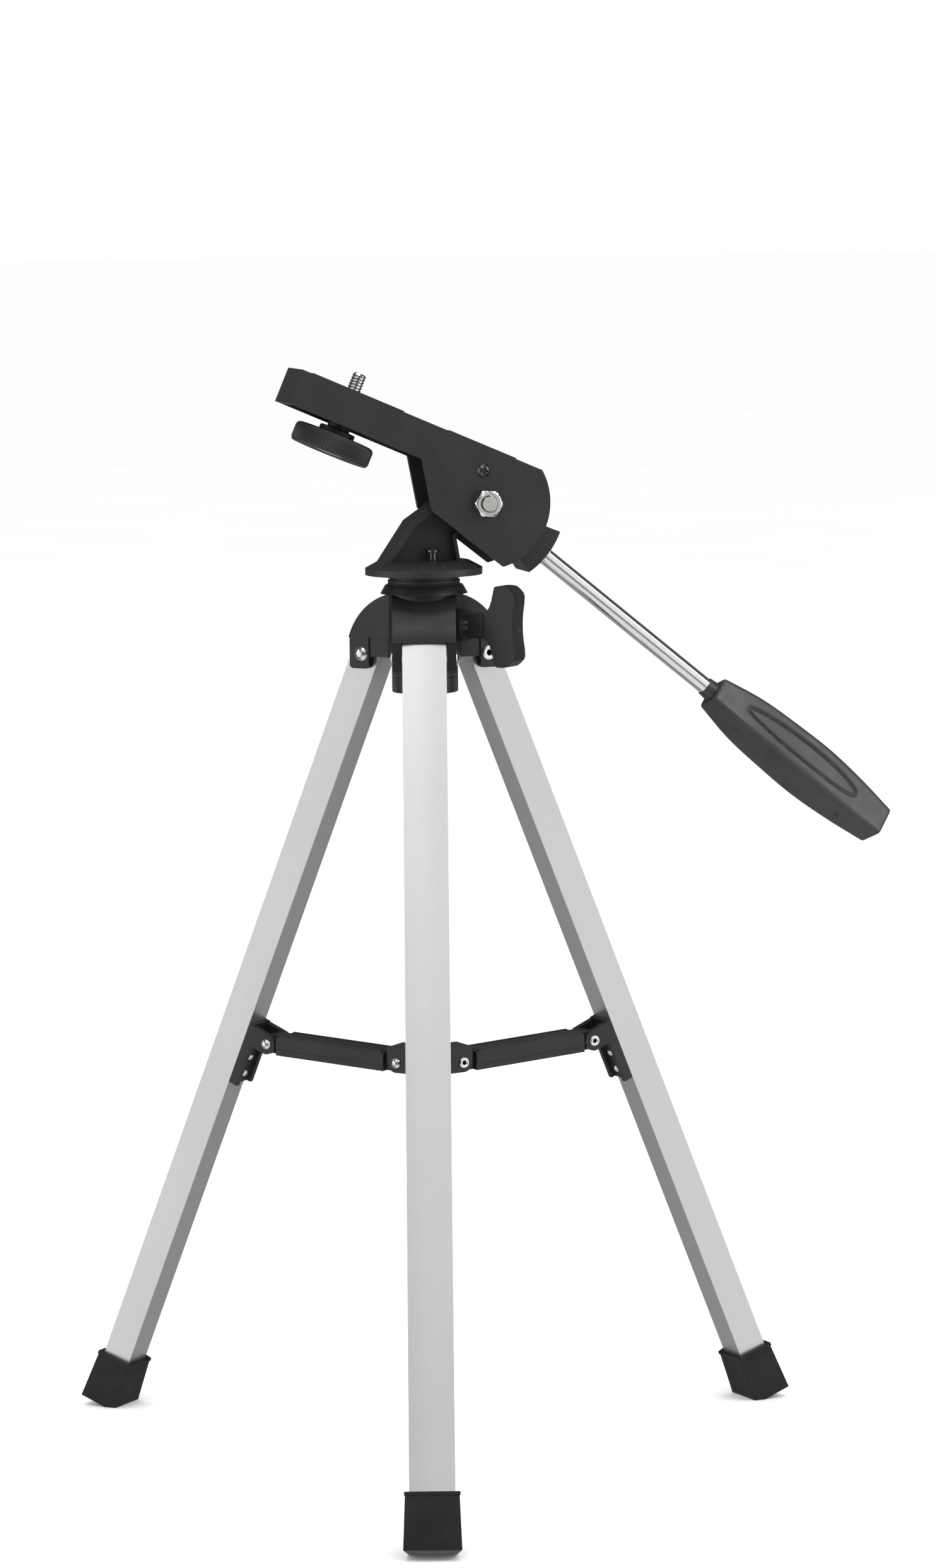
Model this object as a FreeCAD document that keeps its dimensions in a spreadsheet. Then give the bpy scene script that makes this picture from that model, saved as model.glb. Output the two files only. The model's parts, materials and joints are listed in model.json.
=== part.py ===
"""Tabletop alt-azimuth telescope mount: a folding tripod, a panning base and a tilting platform.

Row frame: millimetres, +Z up, the pan axis is the Z axis, the floor is z = 0 and the front leg
points along -Y.
"""

import FreeCAD, Part
import math
import os
import Sketcher

V = FreeCAD.Vector
TILT_AXIS = V(0, 1, 0)
UP = V(0, 0, 1)
# longer than any piece that a cutting tool has to pass through
LONG = 80.0

SIZES = {
    # tripod legs, measured along and across one leg
    "leg_count": 3, "leg_spread": 22.85, "leg_pivot_radius": 24.3, "leg_pivot_height": 353.9,
    "leg_width": 19.0, "leg_inner_width": 13.9, "leg_outboard": 6.84, "leg_inboard": 5.7,
    "leg_bulge": 0.6, "leg_wall": 1.1, "leg_above_pivot": 9.5, "leg_below_pivot": 377.0,
    "leg_top_round": 6.0, "plug_length": 35.0, "top_room": 0.4, "top_room_shift": 0.09,
    "foot_top": 358.6, "foot_bottom": 382.6, "foot_wall": 1.7, "foot_flare": 0.9,
    "foot_bead": 0.4, "foot_bead_height": 1.6,
    # leg and spreader rivets
    "leg_rivet_radius": 2.0, "leg_rivet_head": 3.4, "arm_rivet_radius": 1.5, "arm_rivet_head": 2.5,
    "rivet_play": 0.06, "dome_height": 1.7, "rivet_lip": 1.0,
    # crown
    "crown_core": 17.0, "crown_shoulder": 380.3, "collar_top": 384.0, "collar_lower": 19.0,
    "collar_upper": 16.9, "crown_web_bottom": 352.7, "boss_radius": 14.4, "boss_seam": 344.1,
    "boss_bottom": 337.3, "hood_bottom": 361.0, "hood_middle": 3.2, "hood_radius": 28.5,
    "hood_centre": 352.7,
    "clevis_half": 13.7, "clevis_gap": 9.75, "ear_inner": 20.3, "ear_outer": 30.0,
    "ear_bottom": 347.5, "ear_corner": 1.7, "slot_inner": 14.9, "web_half": 13.0,
    "spindle_bore": 9.06, "cap_bore": 11.6, "cap_bore_top": 346.0, "crown_web_inner": 6.0,
    # azimuth lock
    "lock_turn": -30.0, "lock_level": 367.0, "lock_boss_radius": 7.0, "lock_boss_reach": 21.5,
    "lock_stud_radius": 2.5, "lock_stud_tip": 9.4, "lock_nut_size": 4.6, "lock_nut_start": 14.0,
    "lock_nut_length": 4.0, "barrel_start": 24.2, "barrel_size": 10.7, "wing_start": 32.3,
    "wing_root": 6.2, "wing_neck": 35.4, "wing_neck_rise": 9.4, "wing_tip_inner": 37.8,
    "wing_tip_outer": 44.4, "wing_rise": 17.6, "wing_edge": 47.6, "wing_edge_rise": 13.6,
    "wing_waist": 46.4, "wing_waist_rise": 4.0, "lock_stud_seat": 8.0, "wing_thick": 9.6,
    "dimple_radius": 2.6, "dimple_depth": 0.7,
    # azimuth base and its post
    "pan_turn": 13.9, "disc_radius": 25.5, "disc_bottom": 388.5, "disc_rim_top": 391.4,
    "disc_cone_radius": 20.0, "disc_cone_top": 394.4, "neck_radius": 15.7, "neck_groove": 0.9,
    "neck_groove_low": 386.2, "neck_groove_high": 387.0, "wear_washer": 0.9, "spindle_radius": 9.0,
    "spindle_bottom": 345.85, "post_foot_left": -21.1, "post_foot_right": 15.3,
    "post_shoulder_x": -7.3, "post_shoulder_z": 411.8, "post_top_x": -0.4, "post_top_z": 416.5,
    "post_join_x": 13.4, "post_join_z": 429.0, "post_waist_x": 12.9, "post_waist_z": 405.5,
    "post_half": 7.0, "post_web_half": 2.2, "rib_left": 3.0, "rib_right": 1.6,
    "tongue_radius": 14.0, "tongue_half": 10.4, "pin_x": 2.4, "pin_y": -7.0,
    "pin_stem": 1.7, "pin_cap": 2.7, "pin_cap_thick": 1.3, "pin_top": 399.4, "retaining_radius": 2.9,
    "retaining_washer_radius": 11.0, "retaining_washer_thick": 1.2, "retaining_head_radius": 5.5,
    "retaining_head_height": 3.4, "retaining_socket_depth": 2.0, "retaining_length": 16.0,
    "spindle_play": 0.1,
    # tilting frame, measured from the tilt pivot along and square to its platform
    "tilt_x": 24.6, "tilt_z": 419.4, "tilt_angle": 23.3, "nose_x": -97.0, "platform_low": 7.0,
    "platform_top": 22.6, "top_plate": 3.0, "frame_half": 15.0, "cheek_wall": 2.6,
    "cheek_left_x": -33.6, "cheek_corner_x": -20.7, "cheek_corner_z": -12.2,
    "cheek_tip_x": 17.8, "cheek_tip_z": -22.51, "cheek_back_x": 17.69, "channel_radius": 24.5,
    "seat_rise": 0.6, "seat_half": 11.0, "seat_front": -91.0, "seat_front_end": -48.0,
    "seat_back": -26.0, "seat_back_end": 6.0,
    "socket_inner": 22.0, "socket_outer": 36.5, "socket_start": -33.9, "socket_sweep": 35.6,
    "socket_half": 11.5, "bolt_radius": 3.175, "bolt_play": 0.07, "washer_radius": 5.5,
    "washer_thick": 1.0, "nut_radius": 6.4, "nut_thick": 4.6, "bolt_proud": 0.7,
    "bolt_head_radius": 6.6, "bolt_head_thick": 3.2, "fibre_radius": 11.0, "fibre_gap": 0.1,
    "rib_thick": 1.8, "rib_low": 12.0,
    "rib_first": -90.0, "rib_second": -50.0, "rib_third": -38.0, "side_screw_hole": 1.6,
    "side_screw_depth": 3.0, "side_screw_x": -6.5, "side_screw_z": 12.6, "side_screw_radius": 3.0,
    "side_screw_thick": 1.6,
    # telescope screw and its knob
    "knob_x": -69.7, "knob_radius": 17.8, "knob_top": 2.8, "knob_bottom": -5.8, "knob_neck": 8.0,
    "knob_neck_top": 5.3, "knob_shank": 5.0, "screw_boss_radius": 8.0, "screw_boss_low": 14.0,
    "screw_proud": 8.0, "screw_core": 3.0, "screw_relief": 0.3, "knob_floor": 0.8,
    "knob_cap_thick": 0.7, "knob_recess_radius": 13.0, "knob_recess": 1.2, "cap_radius": 6.3,
    # handle, measured from the tilt pivot along the rod
    "handle_drop": 16.1, "rod_radius": 3.65, "rod_thread": 3.0, "rod_tip": 14.4, "rod_step": 30.3,
    "insert_radius": 5.2, "insert_room_start": 15.0, "insert_start": 22.4, "insert_end": 30.0,
    "ferrule_radius": 4.6,
    "ferrule_start": 36.9, "ferrule_end": 38.7, "rod_end": 150.0, "grip_neck_start": 132.9,
    "grip_neck_small": 4.2, "grip_neck_large": 4.7, "grip_start": 137.5, "grip_length": 99.0,
    "grip_root": 8.5, "grip_second": 12.2, "grip_third": 13.6, "grip_belly": 13.9,
    "grip_fifth": 12.4, "grip_tail": 9.8, "grip_turn": 17.0,
    # spreader
    "arm_pivot_radius": 80.7, "arm_pivot_height": 175.9, "hub_pivot_radius": 13.3,
    "hub_pivot_height": 172.7, "arm_half": 7.0, "arm_half_height": 4.5, "tongue_half_width": 4.2,
    "tongue_tip": 4.2, "arm_rib": 0.7, "arm_rib_pitch": 3.9, "arm_rib_inset": 1.5,
    "arm_rib_width": 1.5, "arm_end_gap": 4.9, "arm_step": 0.4, "arm_skirt": 2.9,
    "hub_end_gap": 6.6, "bracket_gap": 4.3, "bracket_half": 7.3, "bracket_ear": 4.5,
    "bracket_plate": 2.5, "bracket_top": -5.0, "bracket_bottom": 25.0, "bracket_screw": 1.9,
    "bracket_screw_height": 1.3, "bracket_rail": 4.3, "bracket_rail_gap": 4.4,
    "bracket_screw_first": 12.0, "bracket_screw_pitch": 8.3,
    "hub_reach": 17.7, "hub_half": 7.0, "hub_low": -4.3, "hub_high": 7.0, "hub_slot_inner": 6.4,
    "hub_slot_high": 5.1,
}

doc = FreeCAD.newDocument("alt_azimuth_mount")
sheet = doc.addObject("Spreadsheet::Sheet", "Sizes")
for row, (alias, cell_value) in enumerate(SIZES.items(), 1):
    sheet.set(f"A{row}", alias)
    sheet.set(f"B{row}", str(cell_value))
    sheet.setAlias(f"B{row}", alias)
doc.recompute()

sub_parts = []


class Dim:
    """A size that knows its value and the sheet expression it comes from."""

    def __init__(self, value, text):
        self.value = value
        self.text = text

    def __float__(self):
        return float(self.value)

    def __add__(self, other):
        return Dim(float(self) + float(other), f"({self.text} + {text_of(other)})")

    def __sub__(self, other):
        return Dim(float(self) - float(other), f"({self.text} - {text_of(other)})")

    def __rsub__(self, other):
        return Dim(float(other) - float(self), f"({text_of(other)} - {self.text})")

    def __mul__(self, other):
        return Dim(float(self) * float(other), f"({self.text} * {text_of(other)})")

    def __truediv__(self, other):
        return Dim(float(self) / float(other), f"({self.text} / {text_of(other)})")

    def __neg__(self):
        return self * -1

    __radd__ = __add__
    __rmul__ = __mul__


def text_of(size):
    return size.text if isinstance(size, Dim) else f"{size:g}"


def dim(alias):
    return Dim(float(sheet.get(alias)), f"Sizes.{alias}")


def place(x=0.0, y=0.0, z=0.0, turn=None):
    return FreeCAD.Placement(V(float(x), float(y), float(z)), turn or FreeCAD.Rotation())


def about(axis, degrees):
    return FreeCAD.Rotation(axis, float(degrees))


ALONG_X = about(V(0, 1, 0), 90)
ALONG_Y = about(V(1, 0, 0), -90)
PAN_FRAME = place(turn=about(UP, dim("pan_turn")))
TILT_FRAME = PAN_FRAME * place(dim("tilt_x"), 0, dim("tilt_z"), about(TILT_AXIS, dim("tilt_angle")))
HANDLE_FRAME = TILT_FRAME * place(turn=about(TILT_AXIS, dim("handle_drop")))
LOCK_FRAME = place(turn=about(UP, dim("lock_turn"))) * place(0, 0, dim("lock_level"))


def leg_turn(number):
    """Frame of one leg's radial plane: X outward, Z up. Leg 0 is the front one."""
    return place(turn=about(UP, -90 + 360 * number / float(dim("leg_count"))))


def leg_frame(number):
    """Frame on one leg's pivot: X square to the leg and outward, Z up along the leg."""
    lean = about(TILT_AXIS, -float(dim("leg_spread")))
    return leg_turn(number) * place(dim("leg_pivot_radius"), 0, dim("leg_pivot_height"), lean)


def bind(obj, **sizes):
    for prop, size in sizes.items():
        if isinstance(size, Dim):
            obj.setExpression(prop, size.text)
        else:
            setattr(obj, prop, size)
    return obj


def cylinder(radius, length, where=None, angle=360):
    obj = bind(doc.addObject("Part::Cylinder", "cylinder"), Radius=radius, Height=length, Angle=angle)
    obj.Placement = where or place()
    return obj


def cone(low_radius, high_radius, length, where=None):
    obj = doc.addObject("Part::Cone", "cone")
    bind(obj, Radius1=low_radius, Radius2=high_radius, Height=length)
    obj.Placement = where or place()
    return obj


def box(low, high):
    """Box between two corners, each corner three sizes."""
    spans = [top - bottom for bottom, top in zip(low, high)]
    obj = bind(doc.addObject("Part::Box", "box"), Length=spans[0], Width=spans[1], Height=spans[2])
    obj.Placement = place(*low)
    return obj


def hexagon(radius, length, where=None):
    obj = bind(doc.addObject("Part::Prism", "hexagon"), Circumradius=radius, Height=length)
    obj.Polygon = 6
    obj.Placement = where or place()
    return obj


def cut(base, *tools):
    for tool in tools:
        result = doc.addObject("Part::Cut", "cut")
        result.Base = base
        result.Tool = tool
        base = result
    return base


def fuse(*shapes):
    result = doc.addObject("Part::MultiFuse", "fuse")
    result.Shapes = list(shapes)
    result.Refine = True
    return result


def group(*shapes):
    result = doc.addObject("Part::Compound", "group")
    result.Links = list(shapes)
    return result


def moved(shape, where):
    """The same shape in another frame."""
    shape.Placement = where * shape.Placement
    return shape


def sub_part(label, shape, frame=None):
    """Names a finished piece and puts it in its frame."""
    shape.Label = label
    moved(shape, frame or place())
    sub_parts.append(shape)
    return shape


def draw_outline(sketch, corners):
    """Closed outline. A corner is (x, y), or (x, y, centre) where an anticlockwise arc arrives."""
    points = [V(float(c[0]), float(c[1]), 0) for c in corners]
    count = len(corners)
    for i in range(count):
        start, end, target = points[i], points[(i + 1) % count], corners[(i + 1) % count]
        if len(target) == 2:
            sketch.addGeometry(Part.LineSegment(start, end))
            continue
        centre = V(float(target[2][0]), float(target[2][1]), 0)
        first, last = start - centre, end - centre
        low, high = math.atan2(first.y, first.x), math.atan2(last.y, last.x)
        high += 2 * math.pi if high < low else 0
        sketch.addGeometry(Part.ArcOfCircle(Part.Circle(centre, UP, first.Length), low, high))
    for i in range(count):
        sketch.addConstraint(Sketcher.Constraint("Coincident", i, 2, (i + 1) % count, 1))
    for i, corner in enumerate(corners):
        free = None
        if len(corner) == 3:
            steep = abs(points[i].x - float(corner[2][0])) > abs(points[i].y - float(corner[2][1]))
            free = "X" if steep else "Y"
        pin_point(sketch, i, 1, corner, free)
        target = corners[(i + 1) % count]
        if len(target) == 3:
            pin_point(sketch, i, 3, target[2], None)


def pin_point(sketch, curve, end, point, free):
    """Ties one point of a curve to its two sizes, or to one of them when the other is free."""
    for axis, line, size in (("X", -2, point[0]), ("Y", -1, point[1])):
        if axis == free:
            continue
        if abs(float(size)) < 1e-9:
            sketch.addConstraint(Sketcher.Constraint("PointOnObject", curve, end, line))
            continue
        datum = Sketcher.Constraint(f"Distance{axis}", -1, 1, curve, end, float(size))
        number = sketch.addConstraint(datum)
        if isinstance(size, Dim):
            sketch.setExpression(f"Constraints[{number}]", size.text)


def profile(corners, length, plane="XZ_Plane", both_ways=True, holes=()):
    """Body padded from a sketched outline, with further outlines cut right through it."""
    body = doc.addObject("PartDesign::Body", "profile_body")
    face = [f for f in body.Origin.OriginFeatures if f.Role == plane][0]
    for step, outline in enumerate((corners, *holes)):
        sketch = body.newObject("Sketcher::SketchObject", "outline")
        sketch.AttachmentSupport = [(face, "")]
        sketch.MapMode = "FlatFace"
        draw_outline(sketch, outline)
        doc.recompute()
        feature = body.newObject("PartDesign::Pad" if step == 0 else "PartDesign::Pocket", "feature")
        feature.Profile = sketch
        feature.Midplane = both_ways
        if step:
            feature.Type = "ThroughAll"
            feature.Reversed = True
        else:
            bind(feature, Length=length)
        doc.recompute()
    return body


def revolved(corners):
    """Outline in X (radius) and Y turned once round the Y axis."""
    sketch = doc.addObject("Sketcher::SketchObject", "turned_outline")
    draw_outline(sketch, corners)
    turned = doc.addObject("Part::Revolution", "turned")
    turned.Source = sketch
    turned.Axis = TILT_AXIS
    turned.Angle = 360
    turned.Solid = True
    return turned


def leg_section(grow):
    """Corners of a leg's cross-section, moved outward by grow: X outboard, Y across."""
    outer_x = dim("leg_outboard") + grow
    inner_x = -(dim("leg_inboard") + grow)
    outer_y = dim("leg_width") / 2 + grow
    inner_y = dim("leg_inner_width") / 2 + grow
    return [(inner_x, inner_y), (inner_x, -inner_y), (outer_x, -outer_y), (outer_x, outer_y)]


def bulged_section(grow):
    """Leg section whose outboard face is a shallow arc."""
    corners = leg_section(grow)
    half = float(corners[3][1])
    rise = float(dim("leg_bulge"))
    sweep_radius = (half * half + rise * rise) / (2 * rise)
    middle = corners[3][0] + (rise - sweep_radius)
    corners[3] = (corners[3][0], corners[3][1], (middle, 0))
    return corners


def top_rounding():
    """Tool that rounds the outboard top corner of a leg about an axis across it."""
    middle_x = dim("leg_outboard") + dim("leg_bulge") - dim("leg_top_round")
    middle_z = dim("leg_above_pivot") - dim("leg_top_round")
    half = dim("leg_width")
    corner = box((middle_x, -half, middle_z), (middle_x + half, half, middle_z + half))
    rounding = cylinder(dim("leg_top_round"), half * 2, place(middle_x, -half, middle_z, ALONG_Y))
    return cut(corner, rounding)


def rivet(radius, head, half_width):
    """Rivet along Y: a domed head on +Y and a rolled hollow rim on -Y."""
    hollow, lip, base = radius * 0.55, dim("rivet_lip"), -half_width
    return revolved([
        (0, 0),
        (hollow, 0),
        (hollow, base - lip / 2),
        (hollow + lip / 2, base - lip),
        (head - lip / 2, base - lip),
        (head, base - lip / 2),
        (head, base),
        (radius, base),
        (radius, half_width),
        (head, half_width),
        dome_top(head, dim("dome_height"), half_width),
    ])


def dome_top(radius, height, start):
    """Apex corner of a spherical cap that stands on the plane y = start."""
    ball_radius = (radius * radius + height * height) / (height * 2)
    return (0, start + height, (0, start + height - ball_radius))


def dome(radius, height, start):
    """Spherical cap on the plane y = start, bulging towards +Y."""
    return revolved([(0, start), (radius, start), dome_top(radius, height, start)])


# ---------------------------------------------------------------- tripod legs

def build_leg(number, side):
    frame = leg_frame(number)
    bore_radius = dim("leg_rivet_radius") + dim("rivet_play")
    top, length = dim("leg_above_pivot"), dim("leg_above_pivot") + dim("leg_below_pivot")

    def leg_bore():
        return cylinder(bore_radius, LONG, place(0, -LONG / 2, 0, ALONG_Y))

    tube = profile(bulged_section(0), length, "XY_Plane", False, [leg_section(-dim("leg_wall"))])
    tube.Placement = place(0, 0, -dim("leg_below_pivot"))
    sub_part(f"{side}_leg_tube", cut(tube, top_rounding(), leg_bore()), frame)

    plug = profile(leg_section(-dim("leg_wall")), dim("plug_length"), "XY_Plane", False)
    plug.Placement = place(0, 0, top - dim("plug_length"))
    sub_part(f"{side}_leg_top_plug", cut(plug, top_rounding(), leg_bore()), frame)

    build_foot(side, frame)
    build_bracket(side, frame)


def build_foot(side, frame):
    """Rubber cap with a flat sole at floor level."""
    rings = []
    wall, bead_height = dim("foot_wall"), dim("foot_bead_height")
    for level, grow in ((dim("foot_bottom"), wall + dim("foot_flare")), (dim("foot_top"), wall)):
        ring = doc.addObject("Sketcher::SketchObject", "foot_ring")
        draw_outline(ring, leg_section(grow))
        ring.Placement = place(0, 0, -level)
        rings.append(ring)
    doc.recompute()
    outer = doc.addObject("Part::Loft", "foot_outer")
    outer.Sections = rings
    outer.Solid = True
    outer.Ruled = True
    hollow = profile(bulged_section(0), LONG, "XY_Plane", False)
    hollow.Placement = place(0, 0, -dim("leg_below_pivot"))
    bead = profile(leg_section(wall + dim("foot_bead")), bead_height, "XY_Plane", False)
    bead.Placement = place(0, 0, -dim("foot_top") - bead_height)
    cap = moved(cut(fuse(outer, bead), hollow), frame)
    span = dim("leg_below_pivot")
    floor = box((-span, -span, -LONG), (span, span, 0))
    sub_part(f"{side}_foot", cut(cap, floor))


def bracket_frame_offset():
    """Arm pivot seen from the leg pivot, in the leg's own frame."""
    lean = math.radians(float(dim("leg_spread")))
    out = float(dim("arm_pivot_radius") - dim("leg_pivot_radius"))
    rise = float(dim("arm_pivot_height") - dim("leg_pivot_height"))
    return (out * math.cos(lean) + rise * math.sin(lean), -out * math.sin(lean) + rise * math.cos(lean))


def build_bracket(side, frame):
    pivot_x, pivot_z = bracket_frame_offset()
    at_pivot = frame * place(pivot_x, 0, pivot_z)
    face_x = -float(dim("leg_inboard")) - pivot_x
    half, gap, ear = dim("bracket_half"), dim("bracket_gap"), dim("bracket_ear")
    inner_half = dim("leg_inner_width") / 2

    plate = box(
        (face_x - dim("bracket_plate"), -inner_half, -dim("bracket_bottom")),
        (face_x, inner_half, -dim("bracket_top")),
    )
    ear_root = face_x - float(dim("bracket_plate")) / 2
    ears = profile([(0, -ear, (0, 0)), (ear_root, -ear), (ear_root, ear), (0, ear)], half * 2)
    rail_low = (face_x - dim("bracket_rail"), -inner_half, -dim("bracket_bottom"))
    rails = box(rail_low, (face_x, inner_half, 0))
    channel, plate_face = dim("bracket_rail_gap"), face_x - dim("bracket_plate")
    rail_gap = box((face_x - LONG, -channel, -LONG), (plate_face, channel, 1))
    swing_gap = box((-LONG, -gap, -LONG / 2), (plate_face, gap, LONG / 2))
    bracket = cut(
        fuse(plate, ears, cut(rails, rail_gap)),
        swing_gap,
        cylinder(dim("arm_rivet_radius"), LONG, place(0, -LONG / 2, 0, ALONG_Y)),
    )
    sub_part(f"{side}_spreader_bracket", bracket, at_pivot)

    screws = []
    for step in range(2):
        level = -dim("bracket_screw_first") - dim("bracket_screw_pitch") * step
        head = dome(dim("bracket_screw"), dim("bracket_screw_height"), 0)
        screws.append(moved(head, place(plate_face, 0, level, about(UP, 90))))
    sub_part(f"{side}_bracket_screws", group(*screws), at_pivot)
    pin = rivet(dim("arm_rivet_radius"), dim("arm_rivet_head"), half)
    sub_part(f"{side}_bracket_rivet", pin, at_pivot)


# ---------------------------------------------------------------- spreader

def arm_frame(number):
    """Frame on one arm's outer pivot: X inward along the arm, Z up."""
    drop = dim("arm_pivot_height") - dim("hub_pivot_height")
    run = dim("arm_pivot_radius") - dim("hub_pivot_radius")
    slope = math.degrees(math.atan2(float(drop), float(run)))
    outer = place(dim("arm_pivot_radius"), 0, dim("arm_pivot_height"), about(UP, 180))
    return leg_turn(number) * outer * place(turn=about(TILT_AXIS, slope))


def build_arm(number, side):
    run = float(dim("arm_pivot_radius") - dim("hub_pivot_radius"))
    drop = float(dim("arm_pivot_height") - dim("hub_pivot_height"))
    length = math.hypot(run, drop)
    half, tall = dim("arm_half"), dim("arm_half_height")
    thin, tip = dim("tongue_half_width"), dim("tongue_tip")
    start, end = dim("arm_end_gap"), length - dim("hub_end_gap")
    inset, rib_half, rib = dim("arm_rib_inset"), dim("arm_rib_width") / 2, dim("arm_rib")
    skirt_half, skirt_top = half - dim("arm_step"), dim("arm_skirt") - tall
    beam = fuse(
        box((start, -half, skirt_top), (end, half, tall - rib)),
        box((start, -skirt_half, -tall), (end, skirt_half, skirt_top + 1)),
    )
    ribs = []
    for step in (-1.5, -0.5, 0.5, 1.5):
        middle = dim("arm_rib_pitch") * step
        low = (start + inset, middle - rib_half, tall - rib * 2)
        ribs.append(box(low, (end - inset, middle + rib_half, tall)))
    neck = box((0, -thin, -tip), (length, thin, tip))
    ends = [cylinder(tip, thin * 2, place(x, -thin, 0, ALONG_Y)) for x in (0, length)]
    rivet_room = dim("arm_rivet_radius") + dim("rivet_play")
    holes = [cylinder(rivet_room, LONG, place(x, -LONG / 2, 0, ALONG_Y)) for x in (0, length)]
    sub_part(f"{side}_spreader_arm", cut(fuse(beam, *ribs, neck, *ends), *holes), arm_frame(number))


def build_hub():
    """Sliding hub: one clevis per arm under a common top plate, with stub rivets in the ears."""
    lobes, slots, pins = [], [], []
    half, gap, ear = dim("hub_half"), dim("bracket_gap"), -dim("hub_low")
    reach = dim("hub_pivot_radius")
    for number in range(int(dim("leg_count").value)):
        turn = leg_turn(number) * place(0, 0, dim("hub_pivot_height"))
        lobe = fuse(
            box((0, -half, dim("hub_low")), (reach, half, dim("hub_high"))),
            box((reach - 1, -half, 0), (dim("hub_reach"), half, dim("hub_high"))),
            cylinder(ear, half * 2, place(reach, -half, 0, ALONG_Y)),
        )
        lobes.append(moved(lobe, turn))
        slot = box((dim("hub_slot_inner"), -gap, -LONG), (LONG, gap, dim("hub_slot_high")))
        slots.append(moved(slot, turn))
        bore = cylinder(dim("arm_rivet_radius"), LONG / 2, place(reach, -LONG / 4, 0, ALONG_Y))
        slots.append(moved(bore, turn))
        stubs = cut(
            rivet(dim("arm_rivet_radius"), dim("arm_rivet_head"), half),
            box((-LONG, -gap, -LONG), (LONG, gap, LONG)),
        )
        pins.append(moved(stubs, turn * place(reach, 0, 0)))
    sub_part("spreader_hub", cut(fuse(*lobes), *slots))
    sub_part("spreader_hub_rivets", group(*pins))


# ---------------------------------------------------------------- crown

def hood(number):
    """Arched shoulder over one leg, ending in a small lip above the ears."""
    half, middle, level = dim("clevis_half"), dim("hood_middle"), dim("hood_centre")
    arch = cylinder(dim("hood_radius"), half * 2, place(middle, -half, level, ALONG_Y))
    kept = cut(
        arch,
        box((-LONG, -LONG, 0), (LONG, LONG, dim("hood_bottom"))),
        box((-LONG, -LONG, 0), (middle, LONG, dim("collar_top"))),
    )
    return moved(kept, leg_turn(number))


def ears(number):
    """Two round-cornered ears beside one leg, with the set-back webs that join them to the core."""
    half, web, corner = dim("clevis_half"), dim("web_half"), dim("ear_corner")
    lower, upper = dim("ear_bottom"), dim("hood_bottom") + 1
    inner, outer = dim("ear_inner"), dim("ear_outer")
    outline = [
        (inner, upper),
        (inner, lower + corner),
        (inner + corner, lower, (inner + corner, lower + corner)),
        (outer - corner, lower),
        (outer, lower + corner, (outer - corner, lower + corner)),
        (outer, upper),
    ]
    tabs = profile(outline, half * 2)
    webs = box((dim("crown_web_inner"), -web, dim("crown_web_bottom")), (inner + 1, web, upper))
    return moved(fuse(tabs, webs), leg_turn(number))


def leg_top_centre():
    """Middle of a leg's rounded top in the leg's radial plane: distance outward and height."""
    lean = math.radians(float(dim("leg_spread")))
    across = float(dim("leg_outboard") + dim("leg_bulge") - dim("leg_top_round"))
    along = float(dim("leg_above_pivot") - dim("leg_top_round"))
    out = across * math.cos(lean) - along * math.sin(lean)
    rise = across * math.sin(lean) + along * math.cos(lean)
    return dim("leg_pivot_radius") + out, dim("leg_pivot_height") + rise


def leg_room(number):
    """Space for the top of one leg, hollowed up into the hood, with the rivet bore through both ears."""
    gap, inner = dim("clevis_gap"), dim("slot_inner")
    bottom = dim("boss_seam") - dim("boss_radius")
    at_pivot = place(dim("leg_pivot_radius"), -LONG / 2, dim("leg_pivot_height"), ALONG_Y)
    slot = box((inner, -gap, bottom), (LONG, gap, dim("hood_bottom") - 0.1))
    middle, level = leg_top_centre()
    middle = middle + dim("top_room_shift")
    radius = dim("leg_top_round") + dim("top_room")
    round_room = cylinder(radius, gap * 2, place(middle, -gap, level, ALONG_Y))
    square_room = box((inner, -gap, bottom), (middle, gap, level + radius))
    bore = cylinder(dim("leg_rivet_radius"), LONG, at_pivot)
    return moved(fuse(slot, round_room, square_room, bore), leg_turn(number))


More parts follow.
